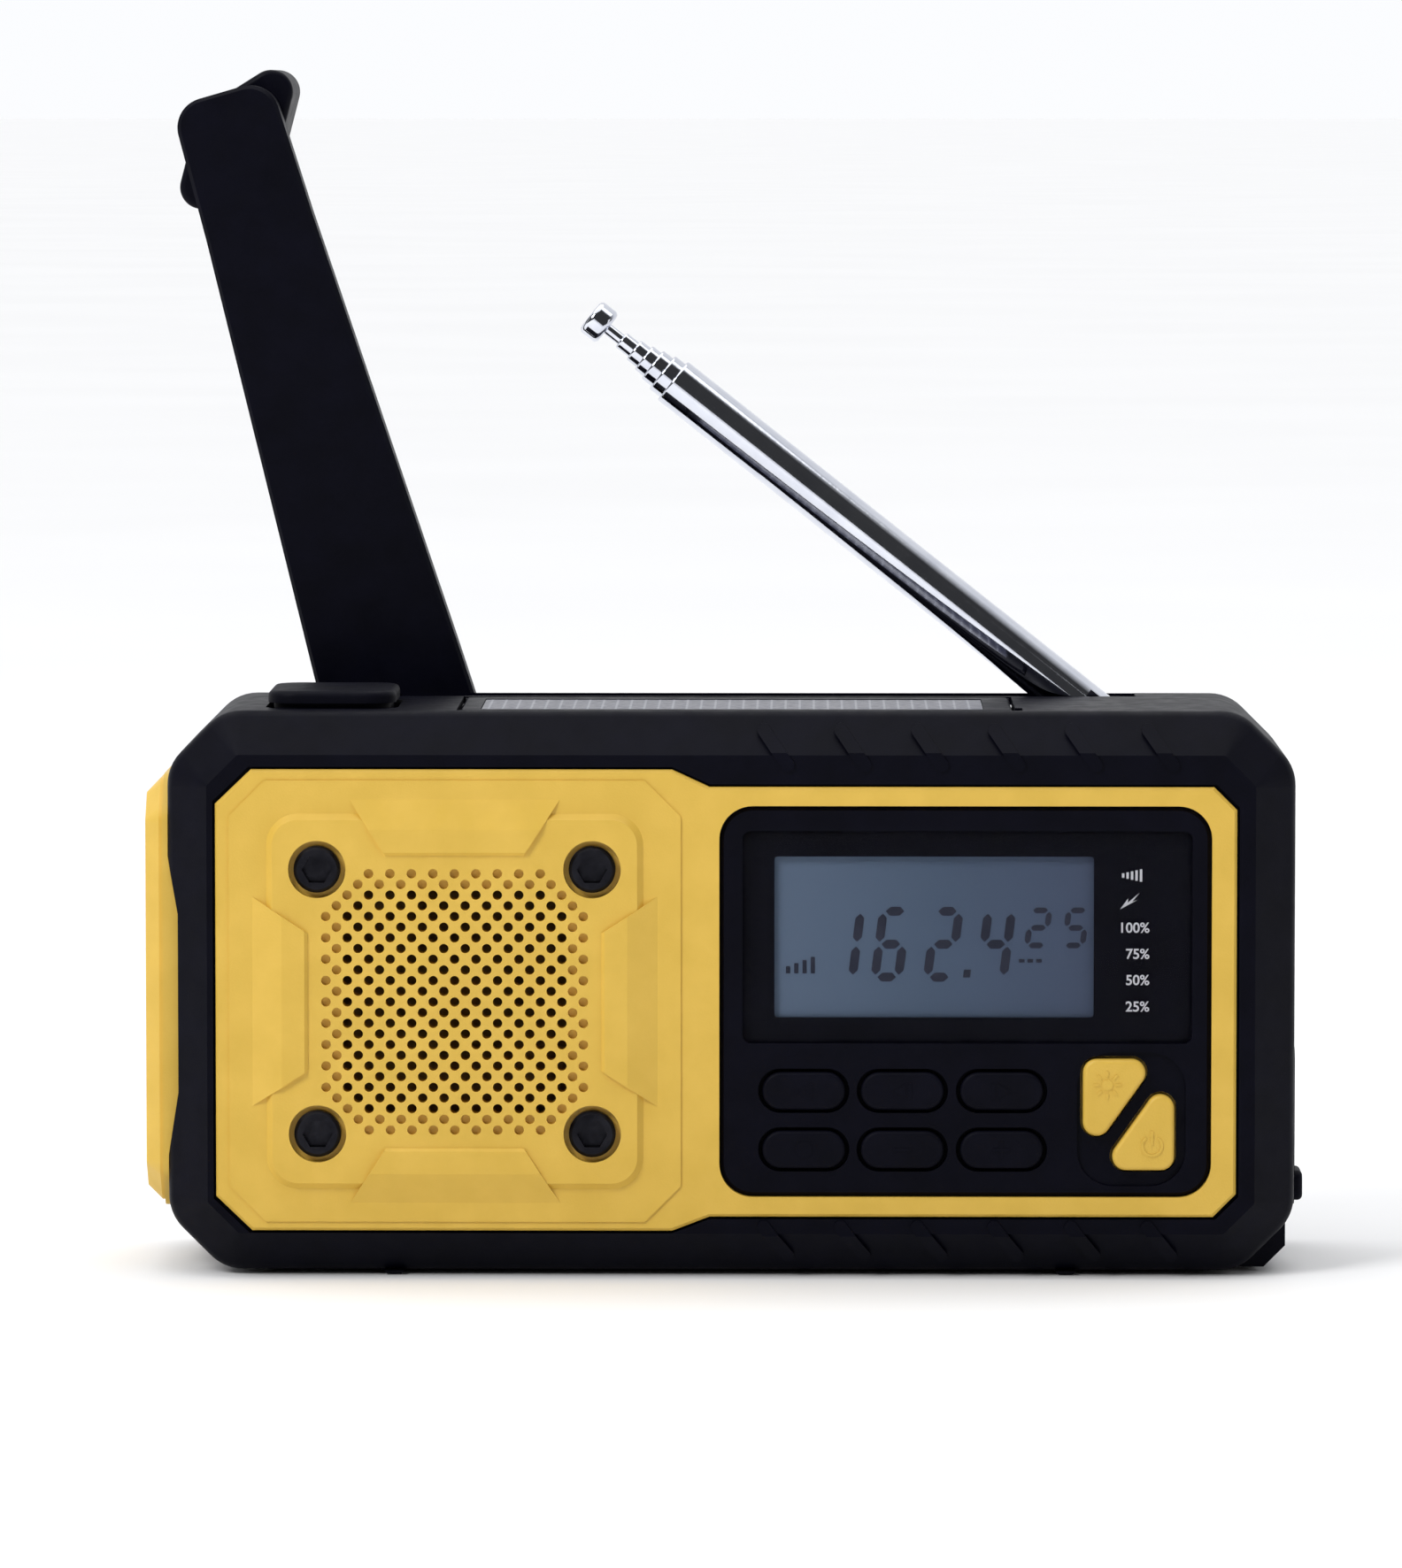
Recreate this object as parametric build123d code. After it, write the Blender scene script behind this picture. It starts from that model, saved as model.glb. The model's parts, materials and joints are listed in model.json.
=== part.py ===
from build123d import *
from math import acos, cos, pi, radians, sin, tan
import os

os.makedirs("parts", exist_ok=True)

# ---------------------------------------------------------------------------
# Driving dimensions, in millimetres.
# +X is to the right of someone who faces the radio, the front faces -Y, +Z is
# up, and the origin is under the middle of the whole object on its resting plane.
# ---------------------------------------------------------------------------
BODY_LEFT, BODY_RIGHT = -77.3, 80.0
BODY_BOTTOM, BODY_TOP = 0.5, 78.9
BODY_FRONT, BUMPER_EDGE, PARTING, BODY_BACK = -37.0, -31.5, -15.0, 10.0
BUMPER_INSET = 5.8
CORNER_CUT, CORNER_RADIUS = 7.7, 6.5
WALL = 2.2

PANEL_FACE, PLATE_FACE, TAB_FACE, PANEL_BACK = -37.2, -38.3, -38.9, -35.2
SPEAKER_X, SPEAKER_Z = -37.0, 38.8
PLATE_SIDE, PLATE_CORNER = 52.5, 4.5
TAB_LONG, TAB_SHORT, TAB_OUT, TAB_RAMP, TAB_IN = 29.4, 19.2, 28.3, 24.0, 20.4
GRILLE_PITCH, GRILLE_RADIUS, GRILLE_COUNT = 1.49, 0.66, 25
BOLT_DX, BOLT_DZ = 19.1, 18.45
BOLT_HEAD_RADIUS, BOLT_SINK_RADIUS, BOLT_SHANK_RADIUS = 3.25, 4.0, 1.5

CONTROL_FACE, CONTROL_BACK = -36.7, -34.7
CONTROL_X0, CONTROL_X1, CONTROL_Z0, CONTROL_Z1 = -0.1, 68.0, 11.6, 65.9
LENS_X0, LENS_X1, LENS_Z0, LENS_Z1, LENS_THICK = 3.1, 65.3, 33.05, 62.4, 1.2
LCD_X0, LCD_X1, LCD_Z0, LCD_Z1 = 7.7, 51.5, 36.7, 58.6
BUTTON_COLUMNS, BUTTON_ROWS = (11.5, 25.2, 39.0), (26.3, 18.1)
BUTTON_LENGTH, BUTTON_HEIGHT, BUTTON_FACE = 11.5, 5.2, -37.3
KEY_FACE, KEY_WELL_FLOOR, KEY_CORNER = -37.7, -36.1, 1.9
BOARD_FRONT, BOARD_BACK = -29.9, -28.3
SWITCH_TOP = -33.0

HUB_X, HUB_Z, HUB_RADIUS, HUB_FACE = -39.0, 50.0, 19.0, 9.9
CRANK_TILT = 16.15
HINGE_OFFSET, ARM_LENGTH = 13.0, 99.5
ARM_FRONT, ARM_BACK = 11.0, 17.0
ARM_BASE_HALF, ARM_TIP_HALF, ARM_END = 11.3, 7.85, 7.0
KNOB_LENGTH, KNOB_MIDDLE_RADIUS, KNOB_LOBE_RADIUS, KNOB_LOBE_AT, KNOB_TURN = 21.6, 6.3, 3.15, 8.5, 53.8
NEST_RADIUS, NEST_FLOOR = 12.3, -12.6

GEAR_TEETH, PINION_TEETH = 42, 14
MODULE_1, MODULE_2 = 0.8, 0.7
STEP_ANGLE, GENERATOR_ANGLE = -30.0, 45.0

LID_X0, LID_X1, LID_FRONT, LID_BACK = -36.6, 40.6, -30.0, -1.0
LID_UNDER, LID_HINGE_Y, LID_HINGE_Z, LID_HINGE_RADIUS = 74.6, -2.6, 77.2, 1.6
LAMP_FLOOR = 71.6

ANTENNA_X, ANTENNA_Y, ANTENNA_Z, ANTENNA_TILT = 54.75, 4.5, 74.6, 38.4
ANTENNA_RADII = (3.5, 3.0, 2.55, 2.12, 1.72, 1.3)
ANTENNA_ENDS = (79.2, 81.1, 82.9, 84.5, 86.3, 88.6)
TUBE_PLAY = 0.06
TIP_ROD_RADIUS, TIP_ROD_END, TIP_KNOB_RADIUS, TIP_END = 0.85, 91.0, 2.7, 94.2

PAD_X0, PAD_X1, PAD_Y0, PAD_Y1, PAD_TOP = -63.6, -45.7, -27.0, -6.0, 81.3
CAP_Z0, CAP_Z1, CAP_Y0, CAP_Y1, CAP_LEFT, CAP_STEP = 8.9, 69.7, -31.0, 6.0, -80.6, -78.1
TORCH_Y, TORCH_Z, TORCH_RADIUS = -12.5, 39.3, 15.5
CELL_X0, CELL_LENGTH, CELL_RADIUS, CELL_Y, CELL_Z = 4.2, 65.0, 9.1, -1.3, 20.7
FLAP_Y0, FLAP_Y1, FLAP_Z0, FLAP_Z1 = -28.5, -10.5, 9.4, 31.6
USB_A, USB_C, JACK, SOCKET_MOUTH = (-22.6, 23.5), (-15.9, 26.2), (-15.9, 17.0), 78.3
FOOT_XS, FOOT_YS = (-45.7, 48.1), (-29.0, 3.0)


# ---------------------------------------------------------------------------
# Small helpers
# ---------------------------------------------------------------------------
def block(x0, x1, y0, y1, z0, z1):
    centre = Pos((x0 + x1) / 2, (y0 + y1) / 2, (z0 + z1) / 2)
    return centre * Box(x1 - x0, y1 - y0, z1 - z0)


def rod_x(y, z, radius, x0, x1):
    return Pos((x0 + x1) / 2, y, z) * Rot(0, 90, 0) * Cylinder(radius, x1 - x0)


def rod_y(x, z, radius, y0, y1):
    return Pos(x, (y0 + y1) / 2, z) * Rot(90, 0, 0) * Cylinder(radius, y1 - y0)


def rod_z(x, y, radius, z0, z1):
    return Pos(x, y, (z0 + z1) / 2) * Cylinder(radius, z1 - z0)


def front_prism(sketch, y0, y1):
    """A sketch drawn as seen from the front (x right, z up), given depth y0 to y1."""
    plane = Plane(origin=(0, y1, 0), x_dir=(1, 0, 0), z_dir=(0, -1, 0))
    return extrude(plane * sketch, y1 - y0)


def side_prism(sketch, x0, x1):
    """A sketch drawn as seen from the right (y right, z up), given width x0 to x1."""
    plane = Plane(origin=(x0, 0, 0), x_dir=(0, 1, 0), z_dir=(1, 0, 0))
    return extrude(plane * sketch, x1 - x0)


def top_prism(sketch, z0, z1):
    return extrude(Plane(origin=(0, 0, z0)) * sketch, z1 - z0)


def polygon(*points):
    return Polygon(*points, align=None)


def rounded(points, radius):
    shape = polygon(*points)
    return fillet(shape.vertices(), radius)


def rounded_box(x0, x1, z0, z1, radius):
    return rounded([(x0, z0), (x1, z0), (x1, z1), (x0, z1)], radius)


def cut_corners(x0, x1, z0, z1, cut):
    return [(x0 + cut, z0), (x1 - cut, z0), (x1, z0 + cut), (x1, z1 - cut),
            (x1 - cut, z1), (x0 + cut, z1), (x0, z1 - cut), (x0, z0 + cut)]


def stadium(x, z, length, height):
    return Pos(x, z) * SlotOverall(length, height)


def joined(pieces):
    total = pieces[0]
    for piece in pieces[1:]:
        total = total + piece
    return total


def group(pieces):
    return Compound(children=[solid for piece in pieces for solid in piece.solids()])


NODES = {}


def keep(name, shape):
    NODES[name] = shape


# ---------------------------------------------------------------------------
# Casing: a bumper-fronted body, parted into a front and a rear shell
# ---------------------------------------------------------------------------
def body_outline(inset):
    cut = CORNER_CUT - 0.586 * inset
    points = cut_corners(BODY_LEFT + inset, BODY_RIGHT - inset,
                         BODY_BOTTOM + inset, BODY_TOP - inset, cut)
    return rounded(points, CORNER_RADIUS - inset)


def body_solid():
    """Straight sides with a bevelled bumper in front and softened edges."""
    solid = front_prism(body_outline(0), BODY_FRONT, BODY_BACK)
    front = solid.faces().sort_by(Axis.Y)[0]
    solid = chamfer(front.edges(), BUMPER_INSET, BUMPER_EDGE - BODY_FRONT, reference=front)
    edge_line = solid.edges().filter_by_position(Axis.Y, BUMPER_EDGE - 0.05, BUMPER_EDGE + 0.05)
    solid = fillet(edge_line, 2.4)
    back = solid.faces().sort_by(Axis.Y)[-1]
    return fillet(back.edges(), 2.0)


def waist():
    """The shallow notch in the left side that the torch bezel fills."""
    points = [(BODY_LEFT - 1, 16.5), (BODY_LEFT, 16.5), (BODY_LEFT + 1.5, 25.5),
              (BODY_LEFT + 1.5, 50.5), (BODY_LEFT, 58.5), (BODY_LEFT - 1, 58.5)]
    return front_prism(polygon(*points), BODY_FRONT - 1, CAP_Y1)


def panel_outline(gap):
    """Front panel: a tall left zone for the speaker and a lower right zone."""
    left, right, step_left, step_right = -70.3 - gap, 71.6 + gap, -6.8, -1.6
    low_left, low_right = 6.7 - gap, 8.7 - gap
    high_left, high_right = 71.1 + gap, 68.7 + gap
    return polygon((left + 5, low_left), (step_left, low_left), (step_right, low_right),
                   (right - 3.2, low_right), (right, low_right + 3.2),
                   (right, high_right - 3.2), (right - 3.2, high_right),
                   (step_right, high_right), (step_left, high_left),
                   (left + 5, high_left), (left, high_left - 4.8), (left, low_left + 4.8))


def control_outline(gap):
    return rounded_box(CONTROL_X0 - gap, CONTROL_X1 + gap, CONTROL_Z0 - gap,
                       CONTROL_Z1 + gap, 4.5 + gap)


CASE_SCREWS = ((-68.5, 8.5), (-68.5, 70.0), (73.0, 69.0), (63.5, 6.0))
GEAR_POSTS = ((-2.1, 29.0), (-20.0, 61.0), (8.8, 50.0), (-38.0, 27.0))


def cavity():
    """The hollow inside: everything but the walls of the bays, wells and bosses."""
    hollow = front_prism(body_outline(WALL), PANEL_BACK + 2.0, BODY_BACK - WALL)
    walls = [
        block(LID_X0 - 2.0, LID_X1 + 2.2, LID_FRONT - 2.2, LID_BACK + 1.5, LAMP_FLOOR - 2.0, 79),
        block(-44.5, 61.5, -1.0, 9.5, 69.0, 79),
        block(PAD_X0 - 1.6, PAD_X1 + 1.6, PAD_Y0 - 1.6, PAD_Y1 + 1.6, 74.0, 79),
        rod_y(HUB_X + ARM_LENGTH - HINGE_OFFSET, HUB_Z, NEST_RADIUS + 1.7, NEST_FLOOR - 1.7, 9),
        rod_y(HUB_X, HUB_Z, HUB_RADIUS + 2.2, 2.4, 9),
        block(1.4, 71.6, -12.2, 9, 7.8, 33.2),
        block(76.0, 79, FLAP_Y0 - 2.5, FLAP_Y1 + 2.5, FLAP_Z0 - 2.4, FLAP_Z1 + 2.9),
    ]
    walls += [rod_y(x, z, 3.6, -34, 9) for x, z in CASE_SCREWS]
    walls += [rod_y(x, z, 2.2, -5.85, 9) for x, z in GEAR_POSTS]
    walls.append(rod_y(*STEP_CENTRE, 3.2, 3.0, 9))
    for piece in walls:
        hollow = hollow - piece
    return hollow


def casing_cuts():
    """Everything that opens the casing to the outside, or passes through its walls."""
    cuts = [
        waist(),
        front_prism(panel_outline(0.35), BODY_FRONT - 2, PANEL_BACK),
        front_prism(control_outline(0.1), BODY_FRONT - 2, CONTROL_BACK),
        front_prism(rounded_box(2.6, 66.4, 13.2, 64.6, 3.0), BODY_FRONT - 2, -30),
        rod_y(SPEAKER_X, SPEAKER_Z, 23.0, BODY_FRONT - 2, -30),
        side_prism(rounded_box(CAP_Y0 + 4, CAP_Y1 - 4, CAP_Z0 + 5, CAP_Z1 - 5, 3.0), -78, -70),
        block(LID_X0 - 0.4, LID_X1 + 0.4, LID_FRONT - 0.4, LID_BACK + 0.4, LID_UNDER - 0.4, 80),
        block(-31, 35, -27.5, -7.5, LAMP_FLOOR, 80),
        block(LID_X1 + 0.2, LID_X1 + 1.4, LID_FRONT - 0.4, LID_FRONT + 5, 75.5, 80),
        block(-43.0, 58.8, ANTENNA_Y - 4.0, ANTENNA_Y + 4.0, 70.4, 80),
        block(-46.6, -43.0, ANTENNA_Y - 4.0, ANTENNA_Y + 4.0, 75.4, 80),
        rod_y(ANTENNA_X, ANTENNA_Z, 1.0, -1.2, 9.4),
        top_prism(rounded_box(PAD_X0 - 0.35, PAD_X1 + 0.35, PAD_Y0 - 0.35, PAD_Y1 + 0.35, 4.35),
                  76.0, 80),
        top_prism(rounded_box(PAD_X0 + 3, PAD_X1 - 3, PAD_Y0 + 3, PAD_Y1 - 3, 2), 73, 80),
        rod_y(HUB_X, HUB_Z, HUB_RADIUS + 0.4, 5.6, 11),
        rod_y(HUB_X, HUB_Z, 3.3, 0, 11),
        rod_y(*STEP_CENTRE, 1.55, 2.2, 7.0),
        rod_y(HUB_X + ARM_LENGTH - HINGE_OFFSET, HUB_Z, NEST_RADIUS, NEST_FLOOR, 11),
        block(3.4, 69.8, -11.0, 11, 10.0, 31.4),
        front_prism(rounded_box(1.8, 71.2, 8.4, 33.0, 2.0), 8.1, 11),
        block(78.6, 82, FLAP_Y0 - 0.4, FLAP_Y1 + 0.4, FLAP_Z0 - 0.4, FLAP_Z1 + 1.4),
    ]
    cuts += [rod_y(SPEAKER_X + sx * BOLT_DX, SPEAKER_Z + sz * BOLT_DZ, 1.55, -38, -26)
             for sx in (-1, 1) for sz in (-1, 1)]
    cuts += [rod_y(x, z, 1.35, -26, 11) + rod_y(x, z, 2.7, 7.4, 11) for x, z in CASE_SCREWS]
    cuts += [rod_y(x, z, 1.0, -6, 4) for x, z in GEAR_POSTS]
    cuts += [rod_z(x, y, 1.25, BODY_BOTTOM - 1, BODY_BOTTOM + WALL + 0.5)
             for x in FOOT_XS for y in FOOT_YS]
    cuts += [block(75.5, 80, y - w / 2, y + w / 2, z - h / 2, z + h / 2)
             for (y, z), w, h in ((USB_C, 3.6, 9.4), (USB_A, 6.2, 13.6))]
    cuts.append(rod_x(*JACK, 3.1, 75.5, 80))
    cuts.append(rod_x(LID_HINGE_Y, LID_HINGE_Z, 0.8, LID_X0 - 3.6, LID_X1 + 3.6))
    return cuts


def rib_prisms(z_top, z_bottom):
    """Slanting finger ribs along the bumper bevel, right of the speaker."""
    prisms = []
    for index in range(6):
        x = 5.4 + 10.68 * index
        angle = atan_degrees(z_bottom - z_top, 4.4)
        length = ((z_top - z_bottom) ** 2 + 4.4 ** 2) ** 0.5
        bar = Pos(x + 2.2, (z_top + z_bottom) / 2) * Rot(0, 0, angle) * SlotOverall(length, 1.8)
        prisms.append(front_prism(bar, BODY_FRONT - 1, -30.5))
    return prisms


def atan_degrees(rise, run):
    return Vector(1, 0, 0).get_signed_angle(Vector(run, rise, 0), Vector(0, 0, 1))


def polar(centre, distance, angle):
    return (centre[0] + distance * cos(radians(angle)), centre[1] + distance * sin(radians(angle)))


STEP_CENTRE = polar((HUB_X, HUB_Z), MODULE_1 * (GEAR_TEETH + PINION_TEETH) / 2, STEP_ANGLE)
GENERATOR_CENTRE = polar(STEP_CENTRE, MODULE_2 * (GEAR_TEETH + PINION_TEETH) / 2, GENERATOR_ANGLE)


def corner_block():
    """A squared block behind the bumper's lower right corner."""
    low, right = BODY_BOTTOM + 0.04, BODY_RIGHT - 1.0
    outline = polygon((66, low), (right - 3, low), (right, low + 3), (right, 14), (66, 14))
    return front_prism(outline, -27, PARTING) - front_prism(body_outline(1.0), -28, PARTING + 2)


def build_shells():
    outer = body_solid()
    raised = Pos(0, -0.35, 0.35) * outer
    lowered = Pos(0, -0.35, -0.35) * outer
    ribs = [prism & raised for prism in rib_prisms(77.2, 71.0)]
    ribs += [prism & lowered for prism in rib_prisms(8.0, 2.2)]
    casing = outer - cavity()
    casing = casing + joined([piece for rib in ribs for piece in rib.solids()])
    casing = casing + corner_block()
    for cut in casing_cuts():
        casing = casing - cut
    front_half = block(-100, 100, -60, PARTING, -10, 100)
    rear_half = block(-100, 100, PARTING, 60, -10, 100)
    keep("front_shell", casing & front_half)
    keep("rear_shell", casing & rear_half)


# ---------------------------------------------------------------------------
# Front: yellow panel with speaker grille, control panel, display, buttons
# ---------------------------------------------------------------------------
def grille_tab(turn):
    """One of four trapezoid tabs that ramp up from the panel onto the speaker plate."""
    outline = polygon((-TAB_LONG / 2, TAB_OUT), (-TAB_SHORT / 2, TAB_IN),
                      (TAB_SHORT / 2, TAB_IN), (TAB_LONG / 2, TAB_OUT))
    tab = front_prism(outline, TAB_FACE, PANEL_BACK - 0.5)
    tab = chamfer(tab.faces().sort_by(Axis.Y)[0].edges().sort_by(Axis.Z)[0], 0.45)
    slope = polygon((TAB_FACE - 1, TAB_OUT + 1), (TAB_FACE - 1, TAB_RAMP), (TAB_FACE, TAB_RAMP),
                    (PANEL_FACE - 0.2, TAB_OUT), (PANEL_FACE - 0.2, TAB_OUT + 1))
    tab = tab - side_prism(slope, -TAB_LONG, TAB_LONG)
    return Pos(SPEAKER_X, 0, SPEAKER_Z) * Rot(0, turn, 0) * tab


def grille_holes():
    """A chequered field with cropped corners; its outer ring is only dimpled."""
    half = (GRILLE_COUNT - 1) // 2
    through, blind = [], []
    for column in range(-half, half + 1):
        for row in range(-half, half + 1):
            reach = abs(column) + abs(row)
            if reach % 2 or reach > 20:
                continue
            spot = (SPEAKER_X + column * GRILLE_PITCH, SPEAKER_Z + row * GRILLE_PITCH)
            edge = max(abs(column), abs(row)) >= half - 1 or reach > 18
            (blind if edge else through).append(spot)
    return through, blind


def build_front_panel():
    panel = front_prism(panel_outline(0), PANEL_FACE, PANEL_BACK)
    face = panel.faces().sort_by(Axis.Y)[0]
    panel = chamfer(face.edges(), 0.4)
    octagon = polygon(*[(SPEAKER_X + x, SPEAKER_Z + z)
                        for x, z in cut_corners(-31.4, 31.4, -30.8, 30.8, 5.0)])
    panel = panel + front_prism(octagon, PANEL_FACE - 0.25, PANEL_FACE)
    half = PLATE_SIDE / 2
    plate = front_prism(rounded_box(SPEAKER_X - half, SPEAKER_X + half, SPEAKER_Z - half,
                                    SPEAKER_Z + half, PLATE_CORNER), PLATE_FACE, PANEL_BACK)
    plate = chamfer(plate.faces().sort_by(Axis.Y)[0].edges(), 0.9)
    panel = panel + plate
    for turn in (0, 90, 180, 270):
        panel = panel + grille_tab(turn)
    panel = panel - front_prism(control_outline(0.15), PANEL_FACE - 1, PANEL_BACK + 1)
    for sx in (-1, 1):
        for sz in (-1, 1):
            x, z = SPEAKER_X + sx * BOLT_DX, SPEAKER_Z + sz * BOLT_DZ
            panel = panel - rod_y(x, z, BOLT_SINK_RADIUS, PLATE_FACE - 1, PLATE_FACE + 1.7)
            panel = panel - rod_y(x, z, 1.6, PLATE_FACE - 1, PANEL_BACK + 1)
    through, blind = grille_holes()
    drills = [rod_y(x, z, GRILLE_RADIUS, TAB_FACE - 1, PANEL_BACK + 1) for x, z in through]
    drills += [rod_y(x, z, GRILLE_RADIUS, TAB_FACE - 1, PLATE_FACE + 0.9) for x, z in blind]
    keep("front_panel", panel - drills)


def build_panel_bolts():
    bolts = []
    for sx in (-1, 1):
        for sz in (-1, 1):
            x, z = SPEAKER_X + sx * BOLT_DX, SPEAKER_Z + sz * BOLT_DZ
            head_back = PLATE_FACE + 1.7
            head = rod_y(x, z, BOLT_HEAD_RADIUS, PLATE_FACE - 0.1, head_back)
            head = chamfer(head.edges().sort_by(Axis.Y)[0], 0.45)
            socket = front_prism(Pos(x, z) * RegularPolygon(2.1, 6), PLATE_FACE - 1, head_back - 0.4)
            bolts.append(head - socket + rod_y(x, z, BOLT_SHANK_RADIUS, head_back, -27))
    keep("panel_bolts", group(bolts))


ALERT_KEY = [(50.3, 30.8), (50.3, 20.0), (53.1, 20.0), (59.2, 28.6), (59.2, 30.8)]
POWER_KEY = [(63.0, 15.3), (63.0, 26.1), (60.3, 26.1), (54.2, 17.5), (54.2, 15.3)]


def key_outline(points, grow):
    """A key's outline with generously rounded corners, grown by a clearance."""
    core = offset(polygon(*points), -KEY_CORNER, kind=Kind.INTERSECTION)
    return offset(core, KEY_CORNER + grow, kind=Kind.ARC)


def build_control_panel():
    panel = front_prism(control_outline(0), CONTROL_FACE, CONTROL_BACK)
    panel = chamfer(panel.faces().sort_by(Axis.Y)[0].edges(), 0.5)
    lens_pocket = rounded_box(LENS_X0 - 0.15, LENS_X1 + 0.15, LENS_Z0 - 0.15, LENS_Z1 + 0.15, 1.2)
    panel = panel - front_prism(lens_pocket, CONTROL_FACE - 1, CONTROL_FACE + LENS_THICK)
    window = rounded_box(LCD_X0 - 0.3, LCD_X1 + 0.3, LCD_Z0 - 0.3, LCD_Z1 + 0.3, 0.5)
    panel = panel - front_prism(window, CONTROL_FACE - 1, CONTROL_BACK + 1)
    for x in BUTTON_COLUMNS:
        for z in BUTTON_ROWS:
            hole = stadium(x, z, BUTTON_LENGTH + 1.2, BUTTON_HEIGHT + 1.0)
            panel = panel - front_prism(hole, CONTROL_FACE - 1, CONTROL_BACK + 1)
    well = rounded_box(49.5, 64.6, 13.0, 31.7, 5.0)
    panel = panel - front_prism(well, CONTROL_FACE - 1, KEY_WELL_FLOOR)
    for points in (ALERT_KEY, POWER_KEY):
        panel = panel - front_prism(key_outline(points, 0.35), CONTROL_FACE - 1, CONTROL_BACK + 1)
    keep("control_panel", panel)


def build_display():
    lens = front_prism(rounded_box(LENS_X0, LENS_X1, LENS_Z0, LENS_Z1, 1.05),
                       CONTROL_FACE - 0.1, CONTROL_FACE + LENS_THICK)
    keep("display_lens", chamfer(lens.faces().sort_by(Axis.Y)[0].edges(), 0.3))
    keep("lcd_module", block(LCD_X0 - 2.4, LCD_X1 + 2.4, CONTROL_BACK + 0.1, BOARD_FRONT,
                             LCD_Z0 - 2.4, LCD_Z1 + 2.0))


def build_buttons():
    number = 1
    for z in BUTTON_ROWS:
        for x in BUTTON_COLUMNS:
            cap = front_prism(stadium(x, z, BUTTON_LENGTH, BUTTON_HEIGHT), BUTTON_FACE, -34.4)
            cap = fillet(cap.faces().sort_by(Axis.Y)[0].edges(), 0.5)
            flange = front_prism(stadium(x, z, BUTTON_LENGTH + 1.8, BUTTON_HEIGHT + 2.0),
                                 -34.4, -33.8)
            keep(f"button_{number}", cap + flange)
            number += 1
    for name, points in (("alert_key", ALERT_KEY), ("power_key", POWER_KEY)):
        cap = front_prism(key_outline(points, 0), KEY_FACE, -34.4)
        cap = fillet(cap.faces().sort_by(Axis.Y)[0].edges(), 0.6)
        keep(name, cap + front_prism(key_outline(points, 0.55), -34.4, -33.8))


def build_electronics():
    board = front_prism(rounded_box(3.4, 65.6, 13.8, 63.8, 1.5), BOARD_FRONT, BOARD_BACK)
    keep("main_board", board)
    spots = [(x, z) for z in BUTTON_ROWS for x in BUTTON_COLUMNS] + [(54.0, 26.5), (60.5, 18.6)]
    switches = []
    for x, z in spots:
        base = block(x - 3, x + 3, -31.6, BOARD_FRONT, z - 2.6, z + 2.6)
        switches.append(base + rod_y(x, z, 1.6, SWITCH_TOP, -31.6))
    keep("tact_switches", group(switches))
    ferrite_z, ferrite_y = 66.0, -21.5
    keep("ferrite_rod", rod_x(ferrite_y, ferrite_z, 3.0, 8, 60))
    keep("ferrite_coil", rod_x(ferrite_y, ferrite_z, 3.6, 24, 40)
         - rod_x(ferrite_y, ferrite_z, 3.03, 23, 41))


def build_speaker():
    ring = rod_y(SPEAKER_X, SPEAKER_Z, 24.6, -33.1, -31.4) - rod_y(SPEAKER_X, SPEAKER_Z, 21.6, -34, -30)
    cup_plane = Plane(origin=(SPEAKER_X, -31.4, SPEAKER_Z), x_dir=(1, 0, 0), z_dir=(0, 1, 0))
    rear_plane = Plane(origin=(SPEAKER_X, -23.0, SPEAKER_Z), x_dir=(1, 0, 0), z_dir=(0, 1, 0))
    basket = loft([cup_plane * Circle(23.0), rear_plane * Circle(14.0)])
    basket = basket - loft([Pos(0, -0.01, 0) * cup_plane * Circle(21.6),
                            rear_plane * Circle(12.6)])
    basket = basket + rod_y(SPEAKER_X, SPEAKER_Z, 14.0, -23.0, -21.8)
    for turn in range(6):
        x, z = polar((SPEAKER_X, SPEAKER_Z), 19, 60 * turn)
        basket = basket - rod_y(x, z, 3.2, -30.6, -20)
    basket = basket - rod_y(SPEAKER_X, SPEAKER_Z, 5.0, -24, -21)
    keep("speaker_frame", ring + basket)
    cone = loft([Pos(0, -0.6, 0) * cup_plane * Circle(20.8), Pos(0, -1.8, 0) * rear_plane * Circle(6.0)])
    hollow = Pos(0, -0.7, 0) * cone
    dome = Pos(SPEAKER_X, -24.0, SPEAKER_Z) * Sphere(9.0)
    dome = dome & rod_y(SPEAKER_X, SPEAKER_Z, 8.6, -35, -25.6)
    keep("speaker_cone", (cone - hollow) + dome)
    magnet = rod_y(SPEAKER_X, SPEAKER_Z, 13.0, -21.8, -15.6)
    keep("speaker_magnet", chamfer(magnet.edges().sort_by(Axis.Y)[-1], 0.8))


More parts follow.
